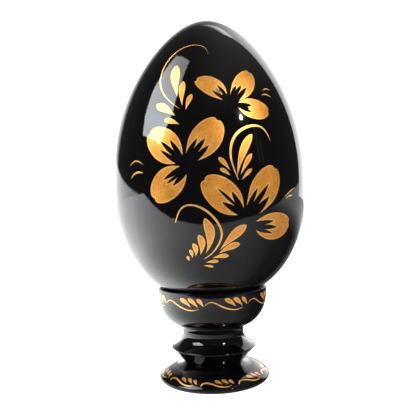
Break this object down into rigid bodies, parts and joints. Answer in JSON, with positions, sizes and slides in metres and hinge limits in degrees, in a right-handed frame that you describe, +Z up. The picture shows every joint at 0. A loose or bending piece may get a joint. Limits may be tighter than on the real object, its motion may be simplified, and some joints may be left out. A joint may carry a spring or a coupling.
{
  "type": "lacquered egg on a turned stand",
  "caption": "Turned wooden egg in black lacquer with gold brush-painted flowers; it turns on a loose peg in the cup of a low pedestal stand, and lifts off it.",
  "frame": {"origin": "on the table plane, at the centre of the flat ring that the foot stands on", "axes": "+Z up along the turning axis that stand, peg and egg share; X and Y level, and the painted front in the picture faces -Y"},
  "size_m": [0.1346, 0.1346, 0.25],
  "materials": {
    "black_lacquer": "black ground under polished clear lacquer, mirror gloss, on turned linden",
    "gold_paint": "gold bronze-powder paint laid on by brush, under the same clear lacquer",
    "beech": "bare turned beech dowel"
  },
  "bodies": {
    "stand": {"foot": "black_lacquer", "knop": "black_lacquer", "cup": "black_lacquer", "stem_dowel": "beech"},
    "peg": {"locating_peg": "beech"},
    "egg": {"egg_body": "black_lacquer"}
  },
  "joints": [
    {"name": "egg_turn", "type": "hinge", "parent": "stand", "child": "peg", "pos_m": [0, 0, 0.0433], "axis": [0, 0, 1], "continuous": true},
    {"name": "egg_lift", "type": "slide", "parent": "peg", "child": "egg", "axis": [0, 0, 1], "range_m": [0, 0.045]}
  ]
}
